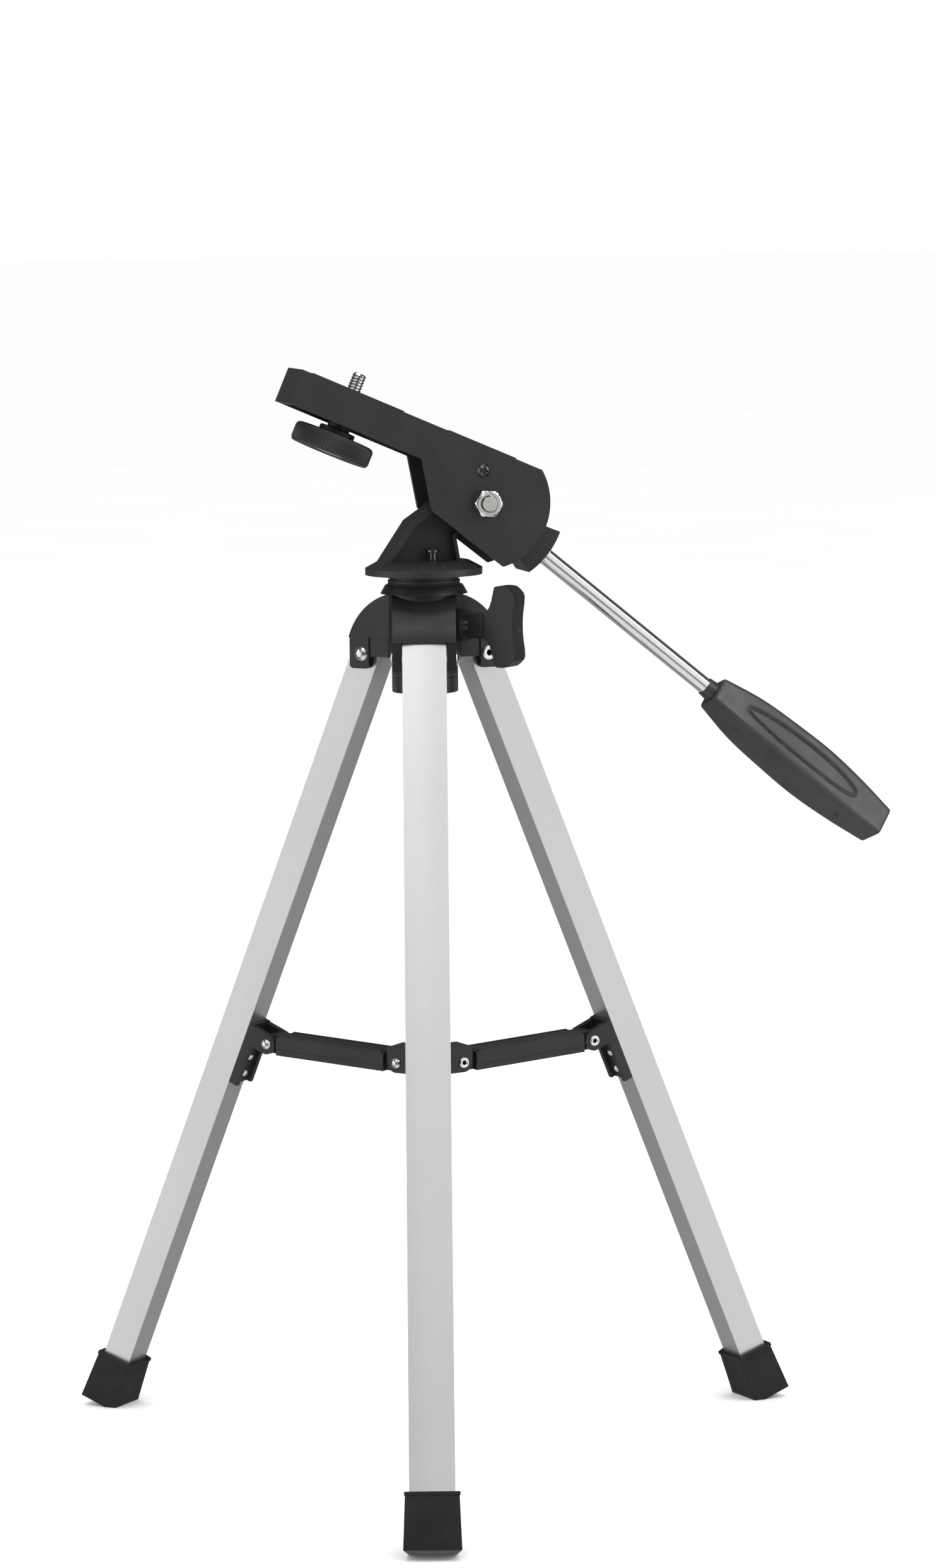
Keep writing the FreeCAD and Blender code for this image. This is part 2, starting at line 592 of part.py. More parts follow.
def build_crown():
    legs = range(int(dim("leg_count").value))
    low, web_low = dim("boss_seam"), dim("crown_web_bottom")
    core = cylinder(dim("crown_core"), dim("crown_shoulder") - web_low, place(0, 0, web_low))
    boss = cylinder(dim("boss_radius"), web_low - low + 1, place(0, 0, low))
    collar = cone(
        dim("collar_lower"), dim("collar_upper"), dim("collar_top") - dim("crown_shoulder"),
        place(0, 0, dim("crown_shoulder")),
    )
    boss_blank = cylinder(dim("lock_boss_radius"), dim("lock_boss_reach"), place(turn=ALONG_X))
    lock_boss = moved(boss_blank, LOCK_FRAME)
    solid = fuse(core, boss, collar, lock_boss, *[hood(n) for n in legs], *[ears(n) for n in legs])
    spindle_bore = cylinder(dim("spindle_bore"), LONG, place(0, 0, dim("boss_bottom")))
    cap_bore = cylinder(dim("cap_bore"), LONG, place(0, 0, dim("cap_bore_top") - LONG))
    stud_room = dim("lock_stud_radius") + dim("rivet_play")
    stud_bore = moved(cylinder(stud_room, LONG, place(turn=ALONG_X)), LOCK_FRAME)
    nut_room = moved(lock_nut_blank(), LOCK_FRAME)
    body = cut(solid, spindle_bore, cap_bore, stud_bore, nut_room, *[leg_room(n) for n in legs])
    sub_part("tripod_crown", body)

    cap_height = low - dim("boss_bottom")
    cap = cut(
        cylinder(dim("boss_radius"), cap_height, place(0, 0, dim("boss_bottom"))),
        cylinder(dim("cap_bore"), LONG, place(0, 0, dim("boss_bottom"))),
    )
    sub_part("crown_lower_ring", cap)
    nut = cut(lock_nut_blank(), cylinder(stud_room, LONG, place(turn=ALONG_X)))
    sub_part("azimuth_lock_nut", nut, LOCK_FRAME)
    pins = [
        moved(
            rivet(dim("leg_rivet_radius"), dim("leg_rivet_head"), dim("clevis_half")),
            leg_turn(n) * place(dim("leg_pivot_radius"), 0, dim("leg_pivot_height")),
        )
        for n in legs
    ]
    sub_part("leg_pivot_rivets", group(*pins))
    washer = cut(
        cylinder(dim("neck_radius"), dim("wear_washer"), place(0, 0, dim("collar_top"))),
        cylinder(dim("spindle_bore"), LONG, place(0, 0, dim("collar_top"))),
    )
    sub_part("azimuth_wear_washer", washer)


def lock_nut_blank():
    where = place(dim("lock_nut_start"), 0, 0, ALONG_X)
    return hexagon(dim("lock_nut_size"), dim("lock_nut_length"), where)


def build_azimuth_lock():
    size, start = dim("barrel_size"), dim("barrel_start")
    reach = dim("wing_start") + 1
    barrel = box((start, -size / 2, -size / 2), (reach, size / 2, size / 2))
    right = [
        (dim("wing_start"), -dim("wing_root")),
        (dim("wing_neck"), -dim("wing_neck_rise")),
        (dim("wing_tip_inner"), -dim("wing_rise")),
        (dim("wing_tip_outer"), -dim("wing_rise")),
        (dim("wing_edge"), -dim("wing_edge_rise")),
        (dim("wing_waist"), -dim("wing_waist_rise")),
    ]
    left = [(x, -y) for x, y in reversed(right)]
    wings = profile(right + left, dim("wing_thick"))
    dimple_floor = dim("wing_waist") - dim("dimple_depth")
    dimple = cylinder(dim("dimple_radius"), LONG, place(dimple_floor, 0, 0, ALONG_X))
    tip, stud_end = dim("lock_stud_tip"), start + dim("lock_stud_seat")
    stud_seat = cylinder(dim("lock_stud_radius"), stud_end, place(turn=ALONG_X))
    sub_part("azimuth_lock_knob", cut(fuse(barrel, wings), dimple, stud_seat), LOCK_FRAME)
    stud = cylinder(dim("lock_stud_radius"), stud_end - tip, place(tip, 0, 0, ALONG_X))
    sub_part("azimuth_lock_stud", stud, LOCK_FRAME)


# ---------------------------------------------------------------- azimuth base

def build_azimuth_base():
    rim_low, rim_top, cone_top = dim("disc_bottom"), dim("disc_rim_top"), dim("disc_cone_top")
    disc = cylinder(dim("disc_radius"), rim_top - rim_low, place(0, 0, rim_low))
    cone_part = cone(dim("disc_radius"), dim("disc_cone_radius"), cone_top - rim_top, place(0, 0, rim_top))
    neck_low = dim("collar_top") + dim("wear_washer") + dim("spindle_play")
    neck = cylinder(dim("neck_radius"), rim_low - neck_low, place(0, 0, neck_low))
    groove_low, groove_radius = dim("neck_groove_low"), dim("neck_radius") - dim("neck_groove")
    groove_span = dim("neck_groove_high") - groove_low
    groove = cut(
        cylinder(dim("disc_radius"), groove_span, place(0, 0, groove_low)),
        cylinder(groove_radius, groove_span, place(0, 0, groove_low)),
    )
    bottom, screw_radius = dim("spindle_bottom"), dim("retaining_radius")
    washer_low = bottom - dim("retaining_washer_thick")
    screw_top = washer_low + dim("retaining_length")
    spindle = cylinder(dim("spindle_radius"), rim_low - bottom, place(0, 0, bottom))
    screw_hole = cylinder(screw_radius, screw_top - bottom, place(0, 0, bottom))
    sub_part(
        "azimuth_base",
        cut(fuse(disc, cone_part, cut(neck, groove), spindle, *build_post()), screw_hole),
        PAN_FRAME,
    )
    washer = cut(
        cylinder(dim("retaining_washer_radius"), dim("retaining_washer_thick"), place(0, 0, washer_low)),
        cylinder(screw_radius, LONG, place(0, 0, washer_low)),
    )
    sub_part("azimuth_retaining_washer", washer, PAN_FRAME)
    head_height = dim("retaining_head_height")
    at_head = place(0, 0, washer_low - head_height)
    head = cut(
        cylinder(dim("retaining_head_radius"), head_height, at_head),
        hexagon(screw_radius, dim("retaining_socket_depth"), at_head),
    )
    shank = cylinder(screw_radius, screw_top - washer_low, place(0, 0, washer_low))
    sub_part("azimuth_retaining_screw", fuse(head, shank), PAN_FRAME)
    cap_low = dim("pin_top") - dim("pin_cap_thick")
    pin = fuse(
        cylinder(dim("pin_stem"), cap_low + 0.1 - cone_top, place(0, 0, cone_top)),
        cylinder(dim("pin_cap"), dim("pin_cap_thick"), place(0, 0, cap_low)),
    )
    sub_part("azimuth_stop_pin", moved(pin, place(dim("pin_x"), dim("pin_y"))), PAN_FRAME)


def post_outline(left, right):
    """Side view of the post, with its left and right edges moved in by two sizes."""
    low = dim("disc_rim_top")
    return [
        (dim("post_foot_left") + left, low),
        (dim("post_foot_right") - right, low),
        (dim("post_waist_x") - right, dim("post_waist_z")),
        (dim("tilt_x") - right * 2, dim("tilt_z") - left * 2),
        (dim("post_join_x") + left, dim("post_join_z") - left * 2),
        (dim("post_top_x") + left, dim("post_top_z") - left / 2),
        (dim("post_shoulder_x") + left, dim("post_shoulder_z") - left / 2),
    ]


def build_post():
    """Leaning ribbed post, and the round tongue that carries the tilt bolt."""
    half, web, floor_level = dim("post_half"), dim("post_web_half"), dim("disc_cone_top")
    whole = profile(post_outline(Dim(0, "0"), Dim(0, "0")), half * 2)
    recess_block = profile(post_outline(dim("rib_left"), dim("rib_right")), LONG)
    web_block = box((-LONG, -web, floor_level), (LONG, web, floor_level + LONG))
    below_floor = box((-LONG, -LONG, floor_level - LONG), (LONG, LONG, floor_level))
    recess = cut(recess_block, web_block, below_floor)
    bolt_room = dim("bolt_radius") + dim("bolt_play")
    bore = cylinder(bolt_room, LONG, place(dim("tilt_x"), -LONG / 2, dim("tilt_z"), ALONG_Y))
    tongue_half = dim("tongue_half")
    tongue = cylinder(
        dim("tongue_radius"), tongue_half * 2, place(dim("tilt_x"), -tongue_half, dim("tilt_z"), ALONG_Y)
    )
    return [cut(fuse(cut(whole, recess), tongue), bore)]


# ---------------------------------------------------------------- tilting frame

def build_tilting_frame():
    origin = (0, 0)
    outline = [
        (dim("nose_x"), dim("platform_low")),
        (dim("cheek_left_x"), dim("platform_low")),
        (dim("cheek_corner_x"), dim("cheek_corner_z")),
        (dim("cheek_tip_x"), dim("cheek_tip_z")),
        (dim("cheek_back_x"), dim("platform_top"), origin),
        (dim("nose_x"), dim("platform_top")),
    ]
    half, wall = dim("frame_half"), dim("cheek_wall")
    inner = half - wall
    ceiling = dim("platform_top") - dim("top_plate")
    shell = profile(outline, half * 2)
    hollow = box((dim("nose_x") + wall, -inner, -LONG), (0, inner, ceiling))
    ring_room = cut(
        cylinder(dim("channel_radius"), inner * 2, place(0, -inner, 0, ALONG_Y)),
        box((-LONG, -LONG, ceiling), (LONG, LONG, LONG)),
    )
    turn = about(TILT_AXIS, -dim("socket_start"))
    below_socket = moved(box((0, -inner, -LONG), (LONG, inner, 0)), place(turn=turn))
    top, seat_half = dim("platform_top"), dim("seat_half")
    seats = [
        box((x0, -seat_half, ceiling), (x1, seat_half, top + dim("seat_rise")))
        for x0, x1 in ((dim("seat_front"), dim("seat_front_end")), (dim("seat_back"), dim("seat_back_end")))
    ]
    boss_low = dim("screw_boss_low")
    boss = cylinder(dim("screw_boss_radius"), ceiling - boss_low + 1, place(dim("knob_x"), 0, boss_low))
    rib_starts = [dim(f"rib_{name}") for name in ("first", "second", "third")]
    rib_low, rib_half = dim("rib_low"), half - wall / 2
    ribs = [box((x, -rib_half, rib_low), (x + dim("rib_thick"), rib_half, top - 1)) for x in rib_starts]
    frame = fuse(cut(shell, hollow, ring_room, below_socket), build_socket(), boss, *seats, *ribs)
    at_screw = place(dim("side_screw_x"), -half, dim("side_screw_z"), ALONG_Y)
    side_hole = cylinder(dim("side_screw_hole"), dim("side_screw_depth"), at_screw)
    bolt_hole = cylinder(dim("bolt_radius"), LONG, place(0, -LONG / 2, 0, ALONG_Y))
    screw_hole = cylinder(dim("bolt_radius") + dim("bolt_play"), LONG, place(dim("knob_x"), 0, 0))
    room_start = dim("insert_room_start")
    rod_hole = cylinder(dim("rod_radius") + dim("rivet_play"), LONG, place(room_start, 0, 0, ALONG_X))
    room_length = dim("insert_end") - room_start
    insert_room = cylinder(dim("insert_radius"), room_length, place(room_start, 0, 0, ALONG_X))
    rod_frame = place(turn=about(TILT_AXIS, dim("handle_drop")))
    cut_frame = cut(
        frame, side_hole, bolt_hole, screw_hole, moved(rod_hole, rod_frame), moved(insert_room, rod_frame)
    )
    sub_part("altitude_frame", cut_frame, TILT_FRAME)
    build_tilt_fasteners()


def build_socket():
    """Block between the cheeks that the handle screws into: a sector of a ring about the pivot."""
    half = dim("socket_half")
    sweep = dim("socket_sweep")
    start = about(TILT_AXIS, -(dim("socket_start") + sweep))
    return moved(
        cut(
            cylinder(dim("socket_outer"), half * 2, place(0, -half, 0, ALONG_Y), sweep),
            cylinder(dim("socket_inner"), LONG, place(0, -LONG / 2, 0, ALONG_Y)),
        ),
        place(turn=start),
    )


def build_tilt_fasteners():
    half, bolt = dim("frame_half"), dim("bolt_radius")
    washer_out = half + dim("washer_thick")
    nut_out = washer_out + dim("nut_thick")
    shank = cylinder(bolt, half + nut_out + dim("bolt_proud"), place(0, half, 0, about(V(1, 0, 0), 90)))
    head = dome(dim("bolt_head_radius"), dim("bolt_head_thick"), half)
    sub_part("altitude_pivot_bolt", fuse(shank, head), TILT_FRAME)

    def bolt_bore():
        return cylinder(bolt, LONG, place(0, -LONG / 2, 0, ALONG_Y))

    at_washer = place(0, -washer_out, 0, ALONG_Y)
    washer = cut(cylinder(dim("washer_radius"), dim("washer_thick"), at_washer), bolt_bore())
    sub_part("altitude_pivot_washer", washer, TILT_FRAME)
    nut = cut(hexagon(dim("nut_radius"), dim("nut_thick"), place(0, -nut_out, 0, ALONG_Y)), bolt_bore())
    sub_part("altitude_pivot_nut", nut, TILT_FRAME)
    fibre_in = dim("tongue_half") + dim("fibre_gap")
    fibre_out = half - dim("cheek_wall")
    discs = [
        cut(cylinder(dim("fibre_radius"), fibre_out - fibre_in, place(0, low, 0, ALONG_Y)), bolt_bore())
        for low in (-fibre_out, fibre_in)
    ]
    sub_part("tilt_friction_washers", group(*discs), TILT_FRAME)
    head = dome(dim("side_screw_radius"), dim("side_screw_thick"), 0)
    screw = fuse(
        cylinder(dim("side_screw_hole"), dim("side_screw_depth"), place(0, -half, 0, ALONG_Y)),
        moved(head, place(0, -half, 0, about(UP, 180))),
    )
    sub_part("frame_side_screw", moved(screw, place(dim("side_screw_x"), 0, dim("side_screw_z"))), TILT_FRAME)
    insert_span = dim("insert_end") - dim("insert_start")
    insert = cut(
        cylinder(dim("insert_radius"), insert_span, place(dim("insert_start"), 0, 0, ALONG_X)),
        cylinder(dim("rod_thread") + dim("rivet_play"), LONG, place(turn=ALONG_X)),
    )
    sub_part("handle_thread_insert", insert, HANDLE_FRAME)


def build_handle():
    tip, step, end = dim("rod_tip"), dim("rod_step"), dim("rod_end")
    thread = cylinder(dim("rod_thread"), step - tip + 1, place(tip, 0, 0, ALONG_X))
    rod = cylinder(dim("rod_radius"), end - step, place(step, 0, 0, ALONG_X))
    sub_part("handle_rod", fuse(thread, rod), HANDLE_FRAME)
    start = dim("ferrule_start")
    ferrule = cut(
        cylinder(dim("ferrule_radius"), dim("ferrule_end") - start, place(start, 0, 0, ALONG_X)),
        cylinder(dim("rod_radius"), LONG, place(turn=ALONG_X)),
    )
    sub_part("handle_rod_ferrule", ferrule, HANDLE_FRAME)
    neck_start, grip_start = dim("grip_neck_start"), dim("grip_start")
    collar = cut(
        cone(
            dim("grip_neck_small"), dim("grip_neck_large"), grip_start - neck_start,
            place(neck_start, 0, 0, ALONG_X),
        ),
        cylinder(dim("rod_radius"), end, place(turn=ALONG_X)),
    )
    sub_part("handle_grip_collar", collar, HANDLE_FRAME)
    stations = (
        (0.0, "grip_root"), (0.2, "grip_second"), (0.42, "grip_third"),
        (0.6, "grip_belly"), (0.8, "grip_fifth"), (1.0, "grip_tail"),
    )
    sections = []
    for share, alias in stations:
        square = doc.addObject("Part::RegularPolygon", "grip_section")
        square.Polygon = 4
        bind(square, Circumradius=dim(alias))
        where = place(grip_start + dim("grip_length") * share, 0, 0, ALONG_X)
        square.Placement = where * place(turn=about(UP, dim("grip_turn")))
        sections.append(square)
    grip = doc.addObject("Part::Loft", "grip_loft")
    grip.Sections = sections
    grip.Solid = True
    rod_room = cylinder(dim("rod_radius"), end, place(turn=ALONG_X))
    sub_part("handle_grip", cut(grip, rod_room), HANDLE_FRAME)


def build_telescope_knob():
    at_knob = TILT_FRAME * place(dim("knob_x"), 0, 0)
    low, top, neck_top = dim("knob_bottom"), dim("knob_top"), dim("knob_neck_top")
    disc = cylinder(dim("knob_radius"), top - low, place(0, 0, low))
    neck = cylinder(dim("knob_neck"), neck_top - top + 1, place(0, 0, top - 1))
    shank = cylinder(dim("knob_shank"), dim("screw_boss_low") - 0.1 - top, place(0, 0, top))
    recess = cylinder(dim("knob_recess_radius"), dim("knob_recess"), place(0, 0, low))
    core, recess_top = dim("screw_core"), low + dim("knob_recess")
    stud_low = recess_top + dim("knob_floor")
    stud_room = cylinder(core, LONG, place(0, 0, stud_low))
    sub_part("telescope_knob", cut(fuse(disc, neck, shank), recess, stud_room), at_knob)
    seat = dim("platform_top") + dim("seat_rise")
    thread_low, thread_top = seat + dim("screw_relief"), seat + dim("screw_proud")
    stud = fuse(
        cylinder(core, thread_top - stud_low, place(0, 0, stud_low)),
        cylinder(dim("bolt_radius"), thread_top - thread_low, place(0, 0, thread_low)),
    )
    sub_part("telescope_screw", stud, at_knob)
    cap_thick = dim("knob_cap_thick")
    cap = cylinder(dim("cap_radius"), cap_thick, place(0, 0, recess_top - cap_thick))
    sub_part("telescope_knob_disc", cap, at_knob)


def check_and_export():
    doc.recompute()
    for obj in doc.Objects:
        if "Invalid" in obj.State or "Error" in obj.State:
            raise RuntimeError(f"{obj.Name} ({obj.TypeId}) failed: {obj.State}")
    os.makedirs("parts", exist_ok=True)
    for piece in sub_parts:
        shape = piece.Shape
        if shape.isNull() or not shape.isValid() or not shape.Solids:
            raise RuntimeError(f"{piece.Label} has no valid solid")
        shape.exportStep(f"parts/{piece.Label}.step")
        print(f"{piece.Label}: {len(shape.Solids)} solid(s), {shape.Volume:.1f} mm3")


for leg_number, leg_side in enumerate(("front", "right", "left")):
    build_leg(leg_number, leg_side)
    build_arm(leg_number, leg_side)
build_hub()
build_crown()
build_azimuth_lock()
build_azimuth_base()
build_tilting_frame()
build_handle()
build_telescope_knob()
check_and_export()
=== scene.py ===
"""Looks of the tabletop alt-azimuth telescope mount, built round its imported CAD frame.

Metres, +Z up, the same frame as the CAD. The CAD nodes keep their shape and get moulded edges
and materials; the pieces with fine detail (grip, knobs, nut, side screw, thread) are built here on
the frames of their joints. Sizes of those pieces are in millimetres.
"""

import json
import math

import bmesh
import bpy
from mathutils import Matrix, Vector

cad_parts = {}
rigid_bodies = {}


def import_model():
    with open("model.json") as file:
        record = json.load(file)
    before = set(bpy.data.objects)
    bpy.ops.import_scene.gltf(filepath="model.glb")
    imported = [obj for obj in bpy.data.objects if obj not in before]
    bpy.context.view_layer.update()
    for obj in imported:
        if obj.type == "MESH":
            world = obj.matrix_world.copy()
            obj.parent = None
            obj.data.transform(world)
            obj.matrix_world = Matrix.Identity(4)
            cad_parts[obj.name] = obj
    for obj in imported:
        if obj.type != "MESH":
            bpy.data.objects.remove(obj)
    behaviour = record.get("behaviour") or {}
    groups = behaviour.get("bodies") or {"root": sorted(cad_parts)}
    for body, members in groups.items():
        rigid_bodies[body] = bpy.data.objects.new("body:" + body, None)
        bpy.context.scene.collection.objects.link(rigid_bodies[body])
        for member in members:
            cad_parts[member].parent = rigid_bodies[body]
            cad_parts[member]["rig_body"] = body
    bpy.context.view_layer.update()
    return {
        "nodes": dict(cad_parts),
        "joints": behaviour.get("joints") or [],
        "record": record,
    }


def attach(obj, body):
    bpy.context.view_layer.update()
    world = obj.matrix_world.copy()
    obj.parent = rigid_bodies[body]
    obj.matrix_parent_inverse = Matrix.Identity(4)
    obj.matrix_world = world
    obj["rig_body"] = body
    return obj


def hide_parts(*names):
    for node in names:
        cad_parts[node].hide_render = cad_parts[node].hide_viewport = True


MM = 0.001
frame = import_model()
NODES = frame["nodes"]
JOINTS = {joint["name"]: joint for joint in frame["joints"]}
SIDES = ("front", "right", "left")
NODE_SLOTS = {row["node"]: row["material_slot"] for row in frame["record"]["subparts"]}


# ---------------------------------------------------------------- frames of the joints

def joint_place(name):
    return Vector(JOINTS[name]["pos_m"])


def joint_axis(name):
    return Vector(JOINTS[name]["axis"]).normalized()


def frame_from(origin, x_axis, y_axis):
    """Frame at origin with the given X and Y axes, in metres."""
    rows = (x_axis, y_axis, x_axis.cross(y_axis))
    return Matrix.Translation(origin) @ Matrix(rows).transposed().to_4x4()


TILT_Y = joint_axis("altitude_tilt")
TILT_X = TILT_Y.cross(joint_axis("telescope_clamp_turn"))
TILT = frame_from(joint_place("altitude_tilt"), TILT_X, TILT_Y)
HANDLE = frame_from(joint_place("altitude_tilt"), joint_axis("handle_twist"), TILT_Y)
CLAMP = frame_from(joint_place("telescope_clamp_turn"), TILT.to_3x3().col[0], TILT_Y)
LOCK_X = joint_axis("azimuth_lock_turn")
LOCK_PLACE = Vector((0, 0, joint_place("azimuth_lock_turn").z))
LOCK = frame_from(LOCK_PLACE, LOCK_X, Vector((0, 0, 1)).cross(LOCK_X))


# ---------------------------------------------------------------- procedural materials

class Surface:
    """A node material with short calls for its nodes and links."""

    def __init__(self, name):
        self.material = bpy.data.materials.new(name)
        self.material.use_nodes = True
        self.tree = self.material.node_tree
        self.shader = self.tree.nodes["Principled BSDF"]
        self.place = self.node("ShaderNodeTexCoord").outputs["Object"]

    def node(self, kind, **settings):
        made = self.tree.nodes.new(kind)
        for key, value in settings.items():
            setattr(made, key, value)
        return made

    def link(self, source, target):
        self.tree.links.new(source, target)

    def noise(self, scale, detail=3.0, roughness=0.5, place=None):
        made = self.node("ShaderNodeTexNoise")
        made.inputs["Scale"].default_value = scale
        made.inputs["Detail"].default_value = detail
        made.inputs["Roughness"].default_value = roughness
        self.link(place or self.place, made.inputs["Vector"])
        return made.outputs["Fac"]

    def spread(self, value, low, high, low_in=0.3, high_in=0.7):
        """Maps a noise value onto the range low to high."""
        made = self.node("ShaderNodeMapRange")
        made.inputs["From Min"].default_value = low_in
        made.inputs["From Max"].default_value = high_in
        made.inputs["To Min"].default_value = low
        made.inputs["To Max"].default_value = high
        self.link(value, made.inputs["Value"])
        return made.outputs["Result"]

    def stretched(self, turn, scale):
        """Texture place turned and then scaled differently along its axes."""
        made = self.node("ShaderNodeMapping")
        made.inputs["Rotation"].default_value = turn
        self.link(self.place, made.inputs["Vector"])
        squeeze = self.node("ShaderNodeMapping")
        squeeze.inputs["Scale"].default_value = scale
        self.link(made.outputs["Vector"], squeeze.inputs["Vector"])
        return squeeze.outputs["Vector"]

    def colours(self, value, dark, light):
        """Base colour between dark and light by a value from 0 to 1."""
        made = self.node("ShaderNodeMix", data_type="RGBA")
        made.inputs["A"].default_value = (*dark, 1)
        made.inputs["B"].default_value = (*light, 1)
        self.link(value, made.inputs["Factor"])
        self.link(made.outputs["Result"], self.shader.inputs["Base Color"])

    def bump(self, height, distance, before=None):
        """Bump of a depth in metres, on top of an earlier one where there is one."""
        made = self.node("ShaderNodeBump")
        made.inputs["Strength"].default_value = 1.0
        made.inputs["Distance"].default_value = distance
        self.link(height, made.inputs["Height"])
        if before:
            self.link(before, made.inputs["Normal"])
        self.link(made.outputs["Normal"], self.shader.inputs["Normal"])
        return made.outputs["Normal"]

    def rough(self, value):
        self.link(value, self.shader.inputs["Roughness"])

    def constant(self, **values):
        for key, value in values.items():
            self.shader.inputs[key.replace("_", " ")].default_value = value


def moulded_plastic(name, dark, light, roughness, grain_size, grain_depth):
    """Moulded plastic: fine grain from the tool, cloudy gloss and a few handling scratches."""
    surface = Surface(name)
    cloud = surface.noise(45, 4.0, 0.6)
    surface.colours(surface.spread(cloud, 0, 1), dark, light)
    scratches = surface.noise(1.0, 2.0, 0.5, surface.stretched((0.4, 0.9, 0.5), (2600, 110, 900)))
    fine = surface.noise(160, 5.0, 0.65)
    gloss = surface.node("ShaderNodeMath", operation="ADD")
    surface.link(surface.spread(fine, roughness - 0.06, roughness + 0.07), gloss.inputs[0])
    surface.link(surface.spread(scratches, 0, 0.13, 0.66, 0.74), gloss.inputs[1])
    surface.rough(gloss.outputs[0])
    swell = surface.bump(surface.noise(70, 2.0), 0.00012)
    surface.bump(surface.noise(1 / grain_size, 2.0, 0.6), grain_depth, swell)
    surface.constant(Specular_IOR_Level=0.36)
    return surface.material


def anodised(name, turn):
    """Satin anodised aluminium with the faint drawn streaks of the extrusion along the leg."""
    surface = Surface(name)
    streaks = surface.noise(1.0, 3.0, 0.6, surface.stretched(turn, (1500, 1500, 5)))
    clouds = surface.noise(14, 2.0)
    mixed = surface.node("ShaderNodeMath", operation="MULTIPLY_ADD")
    mixed.inputs[1].default_value = 0.5
    surface.link(streaks, mixed.inputs[0])
    half = surface.node("ShaderNodeMath", operation="MULTIPLY")
    half.inputs[1].default_value = 0.5
    surface.link(clouds, half.inputs[0])
    surface.link(half.outputs[0], mixed.inputs[2])
    share = surface.spread(mixed.outputs[0], 0, 1)
    surface.colours(share, (0.80, 0.80, 0.805), (0.85, 0.85, 0.85))
    surface.rough(surface.spread(surface.noise(3300, 2.0), 0.33, 0.44))
    long_wave = surface.bump(streaks, 0.000004)
    surface.bump(surface.noise(4200, 2.0), 0.000016, long_wave)
    surface.constant(Metallic=1.0)
    return surface.material


SPECK_SHADE = 0.9


def plated(name, light, roughness):
    """Bright plated steel with polishing haze and a few darker specks."""
    surface = Surface(name)
    specks = surface.spread(surface.noise(600, 4.0, 0.7), 0, 1)
    surface.colours(specks, [c * SPECK_SHADE for c in light], light)
    surface.rough(surface.spread(surface.noise(220, 5.0, 0.7), roughness * 0.6, roughness * 1.6))
    surface.bump(surface.noise(500, 3.0), 0.000012)
    surface.constant(Metallic=1.0)
    return surface.material


def black_steel(name):
    """Blackened steel of the screws, with an uneven coat."""
    surface = Surface(name)
    coat = surface.spread(surface.noise(900, 3.0), 0, 1)
    surface.colours(coat, (0.07, 0.07, 0.072), (0.15, 0.15, 0.152))
    surface.rough(surface.spread(surface.noise(1500, 4.0), 0.16, 0.28))
    surface.bump(surface.noise(2500, 2.0), 0.00001)
    surface.constant(Metallic=1.0)
    return surface.material


def foot_rubber(name):
    """Soft black rubber with a swollen skin and fine grain."""
    surface = Surface(name)
    bloom = surface.spread(surface.noise(70, 4.0), 0, 1)
    surface.colours(bloom, (0.005, 0.005, 0.005), (0.011, 0.0105, 0.0105))
    surface.rough(surface.spread(surface.noise(240, 5.0, 0.65), 0.30, 0.47))
    soft = surface.bump(surface.noise(120, 2.0), 0.00018)
    surface.bump(surface.noise(3000, 2.0), 0.000018, soft)
    surface.constant(Specular_IOR_Level=0.3)
    return surface.material


def pressed_fibre(name):
    """Matt pressed fibre of the washers."""
    surface = Surface(name)
    strands = surface.spread(surface.noise(700, 5.0), 0, 1)
    surface.colours(strands, (0.016, 0.015, 0.014), (0.034, 0.032, 0.030))
    surface.rough(surface.spread(surface.noise(900, 3.0), 0.7, 0.9))
    surface.bump(surface.noise(1800, 4.0), 0.00006)
    return surface.material


def leg_turn_angles(side):
    """Euler turn that lays texture Z along a leg."""
    across = joint_axis(f"{side}_leg_fold")
    top = joint_place(f"{side}_leg_fold")
    bracket = joint_place(f"{side}_arm_fold")
    along = (top - bracket).normalized()
    rotation = Matrix((along.cross(across).normalized(), across, along)).to_4x4()
    return rotation.to_euler()


CROWN_PLASTIC = moulded_plastic(
    "crown_moulding", (0.011, 0.010, 0.009), (0.017, 0.016, 0.015), 0.36, 0.00045, 0.000018
)
HEAD_PLASTIC = moulded_plastic(
    "head_moulding", (0.016, 0.0155, 0.016), (0.023, 0.022, 0.023), 0.42, 0.00030, 0.000022
)
SPREADER_PLASTIC = moulded_plastic(
    "spreader_moulding", (0.011, 0.0105, 0.0105), (0.018, 0.017, 0.017), 0.36, 0.00040, 0.000014
)
GRIP_PLASTIC = moulded_plastic(
    "grip_moulding", (0.030, 0.028, 0.027), (0.042, 0.039, 0.037), 0.30, 0.00060, 0.000008
)
BRIGHT_STEEL = plated("bright_plating", (0.86, 0.85, 0.83), 0.13)
ROD_CHROME = plated("rod_chrome", (0.88, 0.87, 0.86), 0.055)
BLACK_STEEL = black_steel("black_screws")
RUBBER = foot_rubber("foot_rubber")
FIBRE = pressed_fibre("pressed_fibre")
SLOT_FINISH = {
    "crown_plastic": CROWN_PLASTIC,
    "head_plastic": HEAD_PLASTIC,
    "spreader_plastic": SPREADER_PLASTIC,
    "grip_plastic": GRIP_PLASTIC,
    "plated_steel": BRIGHT_STEEL,
    "black_steel": BLACK_STEEL,
    "foot_rubber": RUBBER,
    "fibre": FIBRE,
}


# ---------------------------------------------------------------- CAD nodes: edges and finishes

